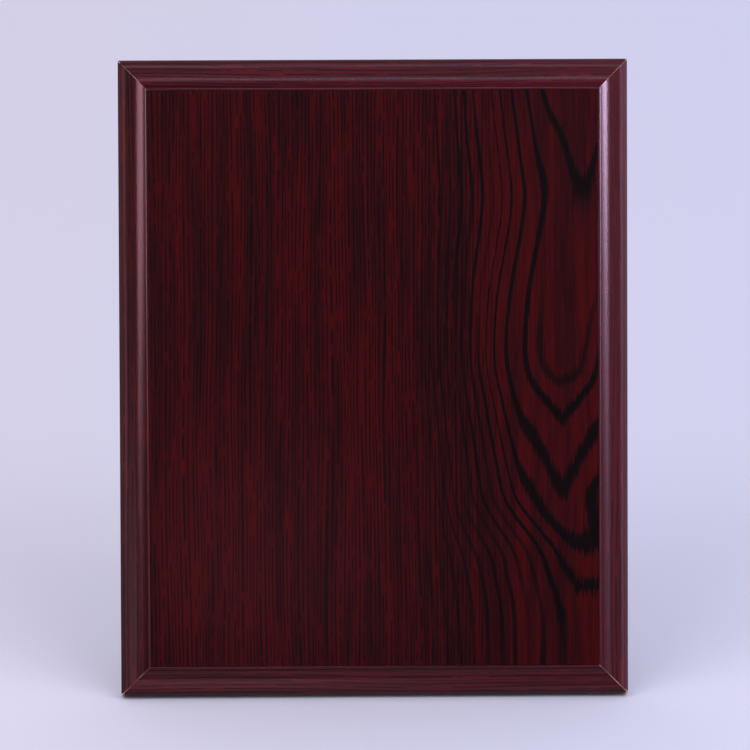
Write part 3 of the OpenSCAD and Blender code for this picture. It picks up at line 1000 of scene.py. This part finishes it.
face_finish = rosewood_face()
moulding_finish = rosewood_moulding()
board_finish = fibreboard()
flock = black_flock()
zinc = metal("zinc_plate", tone(198, 200, 204), 0.3, 0)
bright = metal("bright_zinc", tone(214, 215, 218), 0.2, 2)
wire_finish = metal("galvanised_wire", tone(205, 206, 208), 0.28, 0)

finish_piece(face_panel(), face_finish, "plaque", "face_film", "face_film")
for index, (side, fade, rubbed) in enumerate(FILMS):
    film = wrap(f"{side}_film_wrap", 90 * index, ROLL_SHIFT * index, fade, rubbed)
    finish_piece(film, moulding_finish, "plaque", "moulding_film", f"{side}_wrap")

for board in ("core_board", "bottom_moulding", "right_moulding", "top_moulding", "left_moulding",
              "strut_board"):
    for material_slot in frame["nodes"][board].material_slots:
        material_slot.material = board_finish
for material_slot in frame["nodes"]["corner_v_nails"].material_slots:
    material_slot.material = zinc

# Flat and folded pieces: node, piece, easing of the edges, finish, body and slot.
EASED = (("back_card", "back_card_flock", 0.15, flock, "plaque", "flocked_card"),
         ("strut_cover", "strut_flock", 0.25, flock, "strut", "flocked_card"),
         ("hinge_fixed_leaf", "fixed_leaf", 0.12, zinc, "plaque", "zinc_steel"),
         ("hinge_moving_leaf", "moving_leaf", 0.12, zinc, "strut", "zinc_steel"),
         ("hinge_pin", "pin", 0.2, bright, "plaque", "zinc_steel"),
         ("keyhole_plate", "hanging_plate", 0.2, zinc, "plaque", "zinc_steel"))
for node, name, easing, finish, body, slot in EASED:
    finish_piece(softened(node, name, easing * MM), finish, body, slot, node)

finish_piece(screws(bright), bright, "plaque", "zinc_steel", "hinge_screws")
finish_piece(tacks(bright), bright, "plaque", "zinc_steel", "keyhole_tacks")
finish_piece(rivets(bright), bright, "strut", "zinc_steel", "strut_rivets")
for node, bench, upright, body in (("back_staple", PLAQUE, True, "plaque"),
                                   ("strut_staple", STRUT, False, "strut")):
    wire = staple(f"{node}_wire", node, bench, upright, wire_finish)
    finish_piece(wire, wire_finish, body, "staple_wire", node)
stay_ribbon(satin_ribbon())


# ---- studio ----

# What the room's light is for matt surfaces, and what gloss sees of the room: pale behind
# and underfoot, and dark elsewhere.
ROOM_SOFT = (0.605, 0.595, 0.665, 1)
ROOM_PALE = (0.84, 0.83, 0.92, 1)
ROOM_DARK = (0.03, 0.03, 0.035, 1)
BACKDROP = tone(214, 212, 236)

WARM_WHITE = tone(255, 252, 252)
COOL_WHITE = tone(250, 250, 255)
NEAR_WHITE = tone(255, 253, 255)
ROSE = tone(255, 199, 219)
LILAC = tone(235, 211, 255)
PALE_LILAC = tone(240, 225, 255)
PINK = tone(255, 197, 224)

# How far the floor runs from the plaque, in metres.
FLOOR_REACH = 60


def lamp(name, place, aim, size, power, colour, for_gloss):
    """A soft lamp that only shows in glossy surfaces, or only lights the rest. Its size is
    in metres and its power in watts."""
    light = bpy.data.lights.new(name, "AREA")
    light.shape = "RECTANGLE"
    light.size, light.size_y = size
    light.energy = power
    light.color = colour[:3]
    holder = bpy.data.objects.new(name, light)
    bpy.context.scene.collection.objects.link(holder)
    holder.location = place
    holder.rotation_euler = (Vector(aim) - Vector(place)).to_track_quat("-Z", "Y").to_euler()
    holder.visible_camera = False
    holder.visible_diffuse = not for_gloss
    holder.visible_glossy = for_gloss


def room_light():
    """Even light from all round. Gloss sees a dark room, pale behind and underfoot."""
    world = bpy.data.worlds.new("studio")
    bpy.context.scene.world = world
    world.use_nodes = True
    room = Nodes(world.node_tree)
    _, y, z = room.parts(room.node("ShaderNodeTexCoord").outputs["Generated"])
    rays = room.node("ShaderNodeLightPath")
    pale = y.step(0.55, 0.85).work("MAXIMUM", z.step(-0.3, -0.75) * 0.5)
    gloss = room.mix(pale, ROOM_DARK, ROOM_PALE)
    lit = room.mix(rays.outputs["Is Glossy Ray"], ROOM_SOFT, gloss)
    seen = room.mix(rays.outputs["Is Camera Ray"], lit, BACKDROP)
    room.feed(world.node_tree.nodes["Background"].inputs["Color"], seen)


def studio():
    """A pale floor, even light, two soft lamps in front, and small ones for the gloss."""
    corners = [(FLOOR_REACH * sx, FLOOR_REACH * sy, 0)
               for sx, sy in ((-1, -1), (1, -1), (1, 1), (-1, 1))]
    floor = mesh_piece("floor", corners, [(0, 1, 2, 3)])
    floor.data.materials.append(floor_paper())
    floor.visible_glossy = False
    room_light()
    middle = (0, 0, 0.1)
    lamp("left_front", (-0.9, -1.2, 1.3), middle, (1.4, 1.0), 10.5, WARM_WHITE, False)
    lamp("right_front", (0.9, -1.2, 1.3), middle, (1.4, 1.0), 10.5, COOL_WHITE, False)
    lamp("backdrop", (0, 1.7, 1.5), (0, 1.7, 0), (2, 0.8), 4.6, NEAR_WHITE, False)
    lamp("left_gloss", (-0.45, -0.17, 0.27), (-0.1, -0.08, 0.27), (0.52, 0.2), 4, ROSE, True)
    lamp("right_gloss", (0.55, -0.08, 0.32), (0.1, -0.02, 0.31), (0.46, 0.18), 13, LILAC, True)
    lamp("right_low_gloss", (0.8, -0.8, 0.14), middle, (0.25, 0.4), 0.9, PALE_LILAC, True)
    lamp("top_gloss", (0, -0.8, 1.05), middle, (0.6, 0.2), 3.2, PALE_LILAC, True)
    lamp("corner_gloss", (-0.07, -0.365, 0.07), (-0.07, 0, 0.02), (0.14, 0.06), 0.15, PINK, True)
    bpy.context.scene.view_settings.view_transform = "Standard"


# The camera: degrees round the plaque and above the table, metres away, its lens in
# millimetres, and what it looks at from the middle of the plaque's bottom edge.
CAMERA_TURN = 1.058
CAMERA_HEIGHT = 15.079
CAMERA_DISTANCE = 2.5
CAMERA_LENS = 307.2
CAMERA_AIM = Vector((0.18, 0, 129.87)) * MM


def camera():
    """A long lens, fifteen degrees above the table and almost square to the plaque."""
    azimuth, elevation = math.radians(CAMERA_TURN), math.radians(CAMERA_HEIGHT)
    aim = PLAQUE.translation + CAMERA_AIM
    look = Vector((math.sin(azimuth) * math.cos(elevation),
                   math.cos(azimuth) * math.cos(elevation), -math.sin(elevation)))
    lens = bpy.data.cameras.new("camera")
    lens.lens = CAMERA_LENS
    lens.clip_start, lens.clip_end = 0.1, 200
    holder = bpy.data.objects.new("camera", lens)
    bpy.context.scene.collection.objects.link(holder)
    holder.location = aim - look * CAMERA_DISTANCE
    holder.rotation_euler = look.to_track_quat("-Z", "Y").to_euler()
    bpy.context.scene.camera = holder


studio()
camera()
